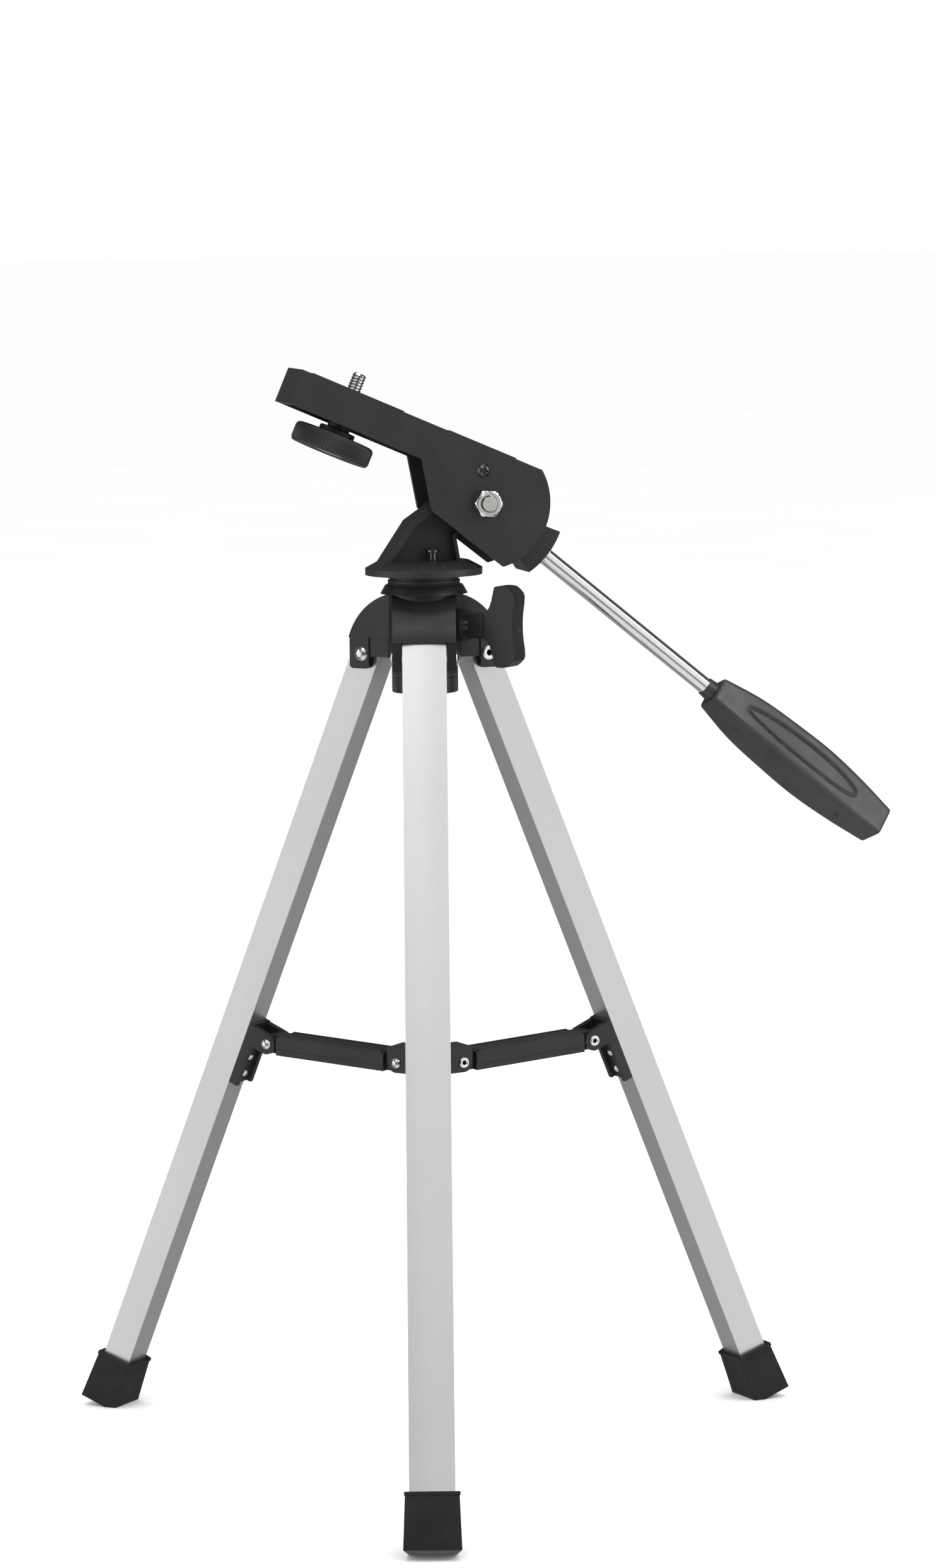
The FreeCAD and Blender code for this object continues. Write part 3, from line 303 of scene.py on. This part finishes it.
# bevel widths in mm, by node and by the ending of a node's name
EDGE_WIDTH = {
    "tripod_crown": 0.7,
    "crown_lower_ring": 0.4,
    "azimuth_base": 0.45,
    "altitude_frame": 0.35,
    "spreader_hub": 0.5,
    "handle_rod": 0.3,
}
ENDING_WIDTH = {
    "leg_tube": 0.25,
    "foot": 0.8,
    "spreader_bracket": 0.3,
    "spreader_arm": 0.3,
}
FINE_EDGE = 0.15
WELD_DISTANCE = 0.000004
FLAT_ANGLE = 0.4
EDGE_ANGLE = 38
NORMAL_WEIGHT = 60


def edge_width(name):
    for ending, width in ENDING_WIDTH.items():
        if name.endswith(ending):
            return width
    return EDGE_WIDTH.get(name, FINE_EDGE)


def soften_edges(node, width):
    """Moulded radius on the sharp edges of a CAD node, by modifiers alone."""
    node.modifiers.new("weld", "WELD").merge_threshold = WELD_DISTANCE
    planar = node.modifiers.new("planar", "DECIMATE")
    planar.decimate_type = "DISSOLVE"
    planar.angle_limit = math.radians(FLAT_ANGLE)
    bevel = node.modifiers.new("edge", "BEVEL")
    bevel.width = width * MM
    bevel.segments = 2
    bevel.limit_method = "ANGLE"
    bevel.angle_limit = math.radians(EDGE_ANGLE)
    bevel.miter_outer = "MITER_ARC"
    normals = node.modifiers.new("normals", "WEIGHTED_NORMAL")
    normals.weight = NORMAL_WEIGHT
    normals.keep_sharp = False


def set_finish(obj, material):
    if not obj.material_slots:
        obj.data.materials.append(material)
    for held in obj.material_slots:
        held.material = material


def finish_cad_nodes():
    leg_metal = {side: anodised(f"{side}_leg_anodised", leg_turn_angles(side)) for side in SIDES}
    for name, node in NODES.items():
        slot = NODE_SLOTS[name]
        if slot == "leg_aluminium":
            material = leg_metal[name.split("_")[0]]
        elif name == "handle_rod":
            material = ROD_CHROME
        else:
            material = SLOT_FINISH[slot]
        set_finish(node, material)
        soften_edges(node, edge_width(name))


# ---------------------------------------------------------------- mesh helpers

def mesh_object(name, bm, where, material, smooth_angle=35):
    """Object from a bmesh in local metres, placed by a frame, shaded smooth below an angle."""
    bmesh.ops.recalc_face_normals(bm, faces=bm.faces)
    data = bpy.data.meshes.new(name)
    bm.to_mesh(data)
    bm.free()
    data.transform(where)
    for face in data.polygons:
        face.use_smooth = True
    data.set_sharp_from_angle(angle=math.radians(smooth_angle))
    data.materials.append(material)
    obj = bpy.data.objects.new(name, data)
    bpy.context.scene.collection.objects.link(obj)
    return obj


def stand_for(obj, node):
    """Rides obj on the node's body in the node's place."""
    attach(obj, NODES[node]["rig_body"])
    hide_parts(node)
    return obj


def ring_surface(rings, close_start=True, close_end=True):
    """Skin over rings of the same number of points; the ends close with a fan to their middle."""
    bm = bmesh.new()
    made = [[bm.verts.new(point) for point in ring] for ring in rings]
    count = len(made[0])
    for low, high in zip(made, made[1:]):
        for i in range(count):
            j = (i + 1) % count
            bm.faces.new((low[i], low[j], high[j], high[i]))
    for wanted, ring in ((close_start, made[0]), (close_end, made[-1])):
        if wanted:
            middle = bm.verts.new(sum((v.co for v in ring), Vector()) / count)
            for i in range(count):
                bm.faces.new((ring[i], ring[(i + 1) % count], middle))
    return bm


def turned(profile, steps, radius_at=None):
    """Rings of a turned shape: profile is (radius, height) in mm, along local Z."""
    rings = []
    for row, (radius, height) in enumerate(profile):
        ring = []
        for i in range(steps):
            angle = 2 * math.pi * i / steps
            reach = radius_at(row, radius, height, angle) if radius_at else radius
            ring.append(Vector((reach * math.cos(angle), reach * math.sin(angle), height)) * MM)
        rings.append(ring)
    return rings


def smooth_step(value, low, high):
    share = max(0.0, min(1.0, (value - low) / (high - low)))
    return share * share * (3 - 2 * share)


def curve_value(stations, share):
    """Smooth curve through evenly weighted (share, value) stations."""
    count = len(stations)
    for i in range(count - 1):
        (x0, y0), (x1, y1) = stations[i], stations[i + 1]
        if share <= x1 or i == count - 2:
            xa, ya = stations[max(i - 1, 0)]
            xb, yb = stations[min(i + 2, count - 1)]
            slope0 = (y1 - ya) / max(x1 - xa, 1e-9)
            slope1 = (yb - y0) / max(xb - x0, 1e-9)
            step = x1 - x0
            t = (share - x0) / step
            return (
                (2 * t ** 3 - 3 * t ** 2 + 1) * y0
                + (t ** 3 - 2 * t ** 2 + t) * slope0 * step
                + (3 * t ** 2 - 2 * t ** 3) * y1
                + (t ** 3 - t ** 2) * slope1 * step
            )
    return stations[-1][1]


# ---------------------------------------------------------------- handle grip

GRIP_START = 137.5
GRIP_LENGTH = 99.0
GRIP_TURN = 17.0
# share of the length, half width over the corners
GRIP_STATIONS = ((0.0, 8.5), (0.2, 12.2), (0.42, 13.6), (0.6, 13.9), (0.8, 12.4), (1.0, 9.8))
CORNER_ALLOWANCE = 1.03
GRIP_SQUARENESS = 11
FACE_STEPS = 44
BODY_RINGS = 221
BODY_START = 0.01
BODY_SPAN = 0.98
# share of the length, swell of the section, distance pushed out along the handle
ROOT_RINGS = ((0.0, 0.72, 0.0), (0.0, 0.93, 0.0), (0.003, 0.975, 0.0))
TAIL_RINGS = (
    (0.997, 0.975, 0.0), (1.0, 0.93, 0.0), (1.0, 0.84, -0.5), (1.0, 0.55, -1.1), (1.0, 0.25, -1.3),
)
PANEL_START = 0.16
PANEL_END = 0.80
PANEL_HALF = 4.3
PANEL_SKEW = 0.134
PANEL_POWER = 2.2
GROOVE_HALF = 1.0
GROOVE_DEPTH = 0.8
PANEL_DEPTH = 0.15
FLATTEST_RISE = 0.05


def panel_depth(share, across):
    """Depth of the leaf-shaped panel of a grip face: a groove round a slightly sunken field."""
    run = 2 * (share - PANEL_START) / (PANEL_END - PANEL_START) - 1
    skewed = run + PANEL_SKEW * (run * run - 1)
    level = abs(skewed) ** PANEL_POWER + (across / PANEL_HALF) ** 2
    along_mm = (PANEL_END - PANEL_START) * GRIP_LENGTH / 2
    stretch = abs(1 + 2 * PANEL_SKEW * run)
    rise_along = PANEL_POWER * abs(skewed) ** (PANEL_POWER - 1) * stretch / along_mm
    rise_across = 2 * abs(across) / PANEL_HALF ** 2
    gap = (1 - level) / max(math.hypot(rise_along, rise_across), FLATTEST_RISE)
    groove = 1 - smooth_step(abs(gap), 0, GROOVE_HALF)
    return GROOVE_DEPTH * groove + PANEL_DEPTH * smooth_step(gap, 0, GROOVE_HALF)


def grip_ring(share, swell, shift=0.0):
    """One square section of the grip with rounded corners, at a share of its length."""
    half = curve_value(GRIP_STATIONS, share) / math.sqrt(2) * CORNER_ALLOWANCE * swell
    corner = 2 ** (-1 / GRIP_SQUARENESS)
    ring = []
    for face in range(4):
        turn = math.radians(GRIP_TURN + 45 + 90 * face)
        for i in range(FACE_STEPS):
            v = corner * (2 * i / FACE_STEPS - 1)
            out = half * (1 - abs(v) ** GRIP_SQUARENESS) ** (1 / GRIP_SQUARENESS)
            if swell == 1:
                out -= panel_depth(share, v * half)
            y = out * math.cos(turn) - half * v * math.sin(turn)
            z = out * math.sin(turn) + half * v * math.cos(turn)
            ring.append(Vector((GRIP_START + GRIP_LENGTH * share + shift, y, z)) * MM)
    return ring


def build_grip():
    """Square grip with a leaf-shaped panel on each face."""
    last = BODY_RINGS - 1
    root = [grip_ring(*row) for row in ROOT_RINGS]
    body = [grip_ring(BODY_START + BODY_SPAN * i / last, 1) for i in range(BODY_RINGS)]
    tail = [grip_ring(*row) for row in TAIL_RINGS]
    grip = mesh_object("grip_body", ring_surface(root + body + tail), HANDLE, GRIP_PLASTIC, 50)
    stand_for(grip, "handle_grip")


# ---------------------------------------------------------------- knobs and fasteners

KNURLS = 84
KNURL_POINTS = 6
KNURL_DEPTH = 0.42
KNURL_SHARPNESS = 0.7
KNURLED_ROWS = range(8, 13)
# radius, height
KNOB_PROFILE = (
    (0.5, -4.6), (6.4, -4.6), (6.6, -4.7), (13.2, -5.3), (14.2, -5.75), (16.4, -5.8), (17.1, -5.6),
    (17.35, -5.1), (17.6, -4.6), (17.8, -4.2), (17.8, -1.5), (17.8, 1.2), (17.6, 1.7), (17.35, 2.1),
    (17.0, 2.5), (16.2, 2.8), (12.0, 2.8), (8.6, 2.8), (8.1, 3.1), (8.0, 3.5), (8.0, 4.9),
    (7.6, 5.3), (5.4, 5.3), (5.0, 5.6), (5.0, 13.6), (4.7, 13.9), (3.3, 13.9),
)
INSERT_PROFILE = (
    (0.4, -5.15), (2.3, -5.15), (2.6, -5.3), (2.9, -5.3), (3.1, -5.1), (4.4, -5.1), (4.7, -5.35),
    (5.9, -5.35), (6.3, -5.2), (6.3, -4.65),
)
INSERT_STEPS = 96
CLAMP_RADIUS = 3.175
CLAMP_PITCH = 1.27
CLAMP_START = -3.8
CLAMP_END = 31.2


def build_platform_knob():
    """Knurled clamp knob with a dished underside, its steel insert and the threaded screw."""

    def knurled(row, radius, height, angle):
        if row not in KNURLED_ROWS:
            return radius
        return radius - KNURL_DEPTH * (0.5 - 0.5 * math.cos(angle * KNURLS)) ** KNURL_SHARPNESS

    bm = ring_surface(turned(KNOB_PROFILE, KNURLS * KNURL_POINTS, knurled))
    stand_for(mesh_object("clamp_knob_body", bm, CLAMP, HEAD_PLASTIC, 28), "telescope_knob")

    bm = ring_surface(turned(INSERT_PROFILE, INSERT_STEPS))
    insert = mesh_object("clamp_knob_insert", bm, CLAMP, BRIGHT_STEEL, 40)
    stand_for(insert, "telescope_knob_disc")

    stud = threaded_rod(CLAMP_RADIUS, CLAMP_PITCH, CLAMP_START, CLAMP_END)
    stand_for(mesh_object("clamp_screw_thread", stud, CLAMP, BRIGHT_STEEL, 50), "telescope_screw")


THREAD_STEPS = 40
ROWS_PER_PITCH = 6
THREAD_DEPTH_SHARE = 0.5
FAR_CHAMFER = 0.9
NEAR_CHAMFER = 0.5


def threaded_rod(radius, pitch, start, end):
    """Rod along local Z with a V thread and chamfered ends."""
    rows = int((end - start) / pitch * ROWS_PER_PITCH)
    heights = [start + (end - start) * i / rows for i in range(rows + 1)]
    depth = pitch * THREAD_DEPTH_SHARE

    def thread(row, reach, height, angle):
        phase = (height / pitch - angle / (2 * math.pi)) % 1
        cut_depth = depth * (1 - abs(2 * phase - 1))
        far_end = max(0.0, FAR_CHAMFER - (end - height))
        chamfer = far_end + max(0.0, NEAR_CHAMFER - (height - start))
        return max(reach - max(cut_depth, chamfer), reach - depth - chamfer * 0.5)

    return ring_surface(turned([(radius, z) for z in heights], THREAD_STEPS, thread))


# turns a piece built along +Z to look out of the near cheek
FACING_OUT = Matrix.Rotation(math.radians(90), 4, "X")


def hexagon_reach(across_corners, angle):
    """Distance from the middle of a hexagon to its side at an angle."""
    apothem = across_corners * math.cos(math.pi / 6)
    local = (angle + math.pi / 6) % (math.pi / 3) - math.pi / 6
    return apothem / math.cos(local)


NUT_CORNER = 6.4
NUT_THICK = 4.6
NUT_INNER = 3.2
NUT_SEAT = -16.0
NUT_TURN = -10
NUT_STEPS = 144
CHAMFER_CIRCLE = 5.0
CHAMFER_SLOPE = 1.9
NUT_HEIGHTS = (0.0, 0.25, 0.5, 0.8, 1.2, 2.3, 3.4, 3.8, 4.1, 4.35, 4.6)
NUT_FACE = ((4.95, 4.6), (4.8, 4.72), (4.0, 4.72), (3.55, 4.3), (NUT_INNER, 3.4))


def build_tilt_nut():
    """Tilt nut with chamfered corners, and the turned edge of its bore."""
    profile = [(NUT_INNER, 0.15)] + [(NUT_CORNER, z) for z in NUT_HEIGHTS] + list(NUT_FACE)

    def nut_reach(row, radius, height, angle):
        if radius < NUT_CORNER:
            return radius
        from_end = min(height, NUT_THICK - height)
        return min(hexagon_reach(NUT_CORNER, angle), CHAMFER_CIRCLE + from_end * CHAMFER_SLOPE)

    outside = (
        TILT
        @ Matrix.Translation(Vector((0, NUT_SEAT, 0)) * MM)
        @ FACING_OUT
        @ Matrix.Rotation(math.radians(NUT_TURN), 4, "Z")
    )
    bm = ring_surface(turned(profile, NUT_STEPS, nut_reach), False, False)
    stand_for(mesh_object("tilt_nut", bm, outside, BRIGHT_STEEL, 32), "altitude_pivot_nut")


SCREW_HEAD_RADIUS = 3.0
SCREW_HEAD_THICK = 1.6
SCREW_HEAD_FLAT = 0.93
SCREW_PLACE = (-6.5, -15.0, 12.6)
SCREW_TURN = 12
SCREW_STEPS = 96
SCREW_ROWS = 26
# half width of the cross and its length: where each is whole and where it ends
CROSS_WIDTH = (0.28, 0.5)
CROSS_LENGTH = (1.35, 1.75)
CROSS_DEPTH = 1.05


def build_side_screw():
    """Black cross-head screw in the near cheek."""
    radius, thick = SCREW_HEAD_RADIUS, SCREW_HEAD_THICK
    ball = (radius * radius + thick * thick) / (2 * thick)
    rings = []
    for row in range(SCREW_ROWS + 1):
        reach = radius * (1 - row / (SCREW_ROWS + 0.5))
        ring = []
        for i in range(SCREW_STEPS):
            angle = 2 * math.pi * i / SCREW_STEPS
            x, y = reach * math.cos(angle), reach * math.sin(angle)
            z = math.sqrt(ball * ball - reach * reach) - (ball - thick)
            z = min(z, thick * SCREW_HEAD_FLAT)
            arm = min(abs(x), abs(y))
            slot = (1 - smooth_step(arm, *CROSS_WIDTH)) * (1 - smooth_step(reach, *CROSS_LENGTH))
            ring.append(Vector((x, y, z - slot * CROSS_DEPTH)) * MM)
        rings.append(ring)
    outside = (
        TILT
        @ Matrix.Translation(Vector(SCREW_PLACE) * MM)
        @ FACING_OUT
        @ Matrix.Rotation(math.radians(SCREW_TURN), 4, "Z")
    )
    bm = ring_surface(rings, False, True)
    stand_for(mesh_object("side_cross_screw", bm, outside, BLACK_STEEL, 40), "frame_side_screw")


WING_HALF_THICK = 4.8
WING_EDGE = 1.1
WING_EDGE_ANGLE = 60
# lower half of the outline: distance from the spindle, height from the middle
WING_OUTLINE = (
    (32.4, -5.35), (33.6, -6.3), (35.2, -8.4), (36.2, -11.0), (37.0, -14.2), (37.6, -16.9),
    (38.6, -17.5), (41.0, -17.6), (43.6, -17.3), (45.4, -16.0), (47.0, -14.4), (47.5, -12.8),
    (47.3, -9.6), (46.7, -5.8), (46.4, -2.0),
)
DIMPLE_RADIUS = 2.6
DIMPLE_RIM = DIMPLE_RADIUS + 0.3
DIMPLE_FLOOR = 45.7
DIMPLE_STEPS = 48
DIMPLE_PROFILE = (
    (0.2, 0.0), (1.6, 0.12), (DIMPLE_RADIUS - 0.35, 0.3), (DIMPLE_RADIUS, 0.6), (DIMPLE_RIM, 1.1),
    (DIMPLE_RIM, 4.0),
)
CARVED_SHARP_ANGLE = 22
BARREL_MIDDLE = 28.5
BARREL_SIZE = (8.6, 10.7, 10.7)
BARREL_TAPER = 0.95
BARREL_EDGE = 0.6


def carve(obj, cutter):
    """Cuts one mesh out of another for good and drops the cutter."""
    boolean = obj.modifiers.new("carve", "BOOLEAN")
    boolean.operation = "DIFFERENCE"
    boolean.solver = "EXACT"
    boolean.object = cutter
    shaped = obj.evaluated_get(bpy.context.evaluated_depsgraph_get())
    carved = bpy.data.meshes.new_from_object(shaped)
    carved.set_sharp_from_angle(angle=math.radians(CARVED_SHARP_ANGLE))
    obj.modifiers.clear()
    obj.data = carved
    bpy.data.objects.remove(cutter)


def build_wing_knob():
    """Wing knob of the azimuth lock: curved wings on a square barrel, a dimple in the end."""
    outline = list(WING_OUTLINE) + [(x, -z) for x, z in reversed(WING_OUTLINE)]
    bm = bmesh.new()
    layers = []
    for y in (-WING_HALF_THICK, WING_HALF_THICK):
        layers.append([bm.verts.new(Vector((x, y, z)) * MM) for x, z in outline])
    low, high = layers
    bm.faces.new(low)
    bm.faces.new(list(reversed(high)))
    for i in range(len(outline)):
        j = (i + 1) % len(outline)
        bm.faces.new((low[i], high[i], high[j], low[j]))
    sharp = [e for e in bm.edges if e.calc_face_angle(0) > math.radians(WING_EDGE_ANGLE)]
    bmesh.ops.bevel(bm, geom=sharp, offset=WING_EDGE * MM, segments=3, affect="EDGES", profile=0.5)
    wings = mesh_object("lock_wings", bm, LOCK, CROWN_PLASTIC, 40)

    end_on = (
        LOCK
        @ Matrix.Translation(Vector((DIMPLE_FLOOR, 0, 0)) * MM)
        @ Matrix.Rotation(math.radians(90), 4, "Y")
    )
    lens = ring_surface(turned(DIMPLE_PROFILE, DIMPLE_STEPS))
    carve(wings, mesh_object("dimple_cutter", lens, end_on, CROWN_PLASTIC))
    stand_for(wings, "azimuth_lock_knob")

    bm = bmesh.new()
    bmesh.ops.create_cube(bm, size=1)
    scale = Matrix.Diagonal(Vector((*(size * MM for size in BARREL_SIZE), 1)))
    bm.transform(Matrix.Translation(Vector((BARREL_MIDDLE * MM, 0, 0))) @ scale)
    for v in bm.verts:
        if v.co.x < BARREL_MIDDLE * MM:
            v.co.y *= BARREL_TAPER
            v.co.z *= BARREL_TAPER
    bmesh.ops.bevel(bm, geom=bm.edges[:], offset=BARREL_EDGE * MM, segments=2, affect="EDGES")
    barrel = mesh_object("lock_barrel", bm, LOCK, CROWN_PLASTIC, 40)
    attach(barrel, "azimuth_lock")


# ---------------------------------------------------------------- studio

CAMERA_PLACE = (0.01426, -2.04256, 0.54348)
CAMERA_YAW = 0.11
CAMERA_PITCH = 6.9
CAMERA_ROLL = -0.65
LENS = 108.11
SENSOR = 36.0


def build_camera():
    """Long lens in front of the mount, a little above the head and looking down."""
    data = bpy.data.cameras.new("camera")
    data.lens = LENS
    data.sensor_width = SENSOR
    data.sensor_fit = "AUTO"
    data.clip_start = 0.05
    data.clip_end = 100
    camera = bpy.data.objects.new("camera", data)
    bpy.context.scene.collection.objects.link(camera)
    look = (
        Matrix.Rotation(math.radians(-CAMERA_YAW), 4, "Z")
        @ Matrix.Rotation(math.radians(90 - CAMERA_PITCH), 4, "X")
        @ Matrix.Rotation(math.radians(CAMERA_ROLL), 4, "Z")
    )
    camera.matrix_world = Matrix.Translation(Vector(CAMERA_PLACE)) @ look
    bpy.context.scene.camera = camera


def add_softbox(name, place, aim, width, height, power):
    data = bpy.data.lights.new(name, "AREA")
    data.shape = "RECTANGLE"
    data.size = width
    data.size_y = height
    data.energy = power
    light = bpy.data.objects.new(name, data)
    light.location = place
    light.rotation_euler = (Vector(aim) - Vector(place)).to_track_quat("-Z", "Y").to_euler()
    bpy.context.scene.collection.objects.link(light)


# what a glossy surface sees: direction, dot product where it fades in and is full, level
REFLECTED = (
    (Vector((0.05, -0.70, 0.71)), 0.80, 0.97, 0.72),
    (Vector((-0.88, -0.47, -0.05)), 0.72, 0.95, 1.00),
    (Vector((0.88, -0.47, -0.05)), 0.72, 0.95, 1.00),
    (Vector((0.00, -0.60, -0.80)), 0.72, 0.95, 0.85),
    (Vector((0.00, 0.60, -0.80)), 0.30, 1.00, 0.36),
)
REFLECTED_BASE = 0.09
FLOOR_LIGHT = 1.08
FLOOR_RADIUS = 60
FLOOR_CORNERS = 96
# name, place, aim, width, height in metres, watts
MIDDLE = (0, 0, 0.3)
SOFTBOXES = (
    ("front_softbox", (-0.5, -1.5, 2.7), MIDDLE, 1.0, 0.8, 10),
    ("grip_softbox", (1.55, -0.95, 1.9), (0.2, 0.05, 0.3), 0.7, 0.7, 11),
    ("top_softbox", (0.1, 0.3, 2.3), MIDDLE, 1.4, 1.4, 13),
    ("left_softbox", (-2.2, -0.4, 1.0), MIDDLE, 0.5, 1.6, 9),
    ("right_softbox", (2.2, -0.4, 1.0), MIDDLE, 0.5, 1.6, 9),
)


def build_surround():
    """Even white for the lens and matt surfaces; gloss sees bright fields in a dark room."""
    world = bpy.data.worlds.new("surround")
    bpy.context.scene.world = world
    world.use_nodes = True
    tree = world.node_tree
    background = tree.nodes["Background"]
    background.inputs["Color"].default_value = (1, 1, 1, 1)
    direction = tree.nodes.new("ShaderNodeTexCoord").outputs["Generated"]
    seen = None
    for towards, fade_in, full, level in REFLECTED:
        facing = tree.nodes.new("ShaderNodeVectorMath")
        facing.operation = "DOT_PRODUCT"
        facing.inputs[1].default_value = towards.normalized()
        tree.links.new(direction, facing.inputs[0])
        field = tree.nodes.new("ShaderNodeMapRange")
        field.interpolation_type = "SMOOTHSTEP"
        field.inputs["From Min"].default_value = fade_in
        field.inputs["From Max"].default_value = full
        field.inputs["To Min"].default_value = REFLECTED_BASE
        field.inputs["To Max"].default_value = level
        tree.links.new(facing.outputs["Value"], field.inputs["Value"])
        if seen is None:
            seen = field.outputs["Result"]
            continue
        brighter = tree.nodes.new("ShaderNodeMath")
        brighter.operation = "MAXIMUM"
        tree.links.new(seen, brighter.inputs[0])
        tree.links.new(field.outputs["Result"], brighter.inputs[1])
        seen = brighter.outputs[0]
    path = tree.nodes.new("ShaderNodeLightPath")
    strength = tree.nodes.new("ShaderNodeMix")
    strength.inputs["A"].default_value = FLOOR_LIGHT
    tree.links.new(path.outputs["Is Glossy Ray"], strength.inputs["Factor"])
    tree.links.new(seen, strength.inputs["B"])
    tree.links.new(strength.outputs["Result"], background.inputs["Strength"])


def build_studio():
    """Pale floor, pale surround, and soft boxes in front, overhead and at both sides."""
    bm = bmesh.new()
    bmesh.ops.create_circle(bm, cap_ends=True, radius=FLOOR_RADIUS, segments=FLOOR_CORNERS)
    paint = Surface("floor_paint")
    paint.colours(paint.spread(paint.noise(3, 4.0), 0, 1), (0.90, 0.90, 0.90), (0.92, 0.92, 0.92))
    paint.rough(paint.spread(paint.noise(30, 3.0), 0.75, 0.85))
    paint.constant(Specular_IOR_Level=0.0)
    floor = mesh_object("floor", bm, Matrix.Identity(4), paint.material)
    floor.visible_glossy = False

    for softbox in SOFTBOXES:
        add_softbox(*softbox)
    bpy.context.scene.view_settings.view_transform = "Standard"


finish_cad_nodes()
build_grip()
build_platform_knob()
build_tilt_nut()
build_side_screw()
build_wing_knob()
build_camera()
build_surround()
build_studio()
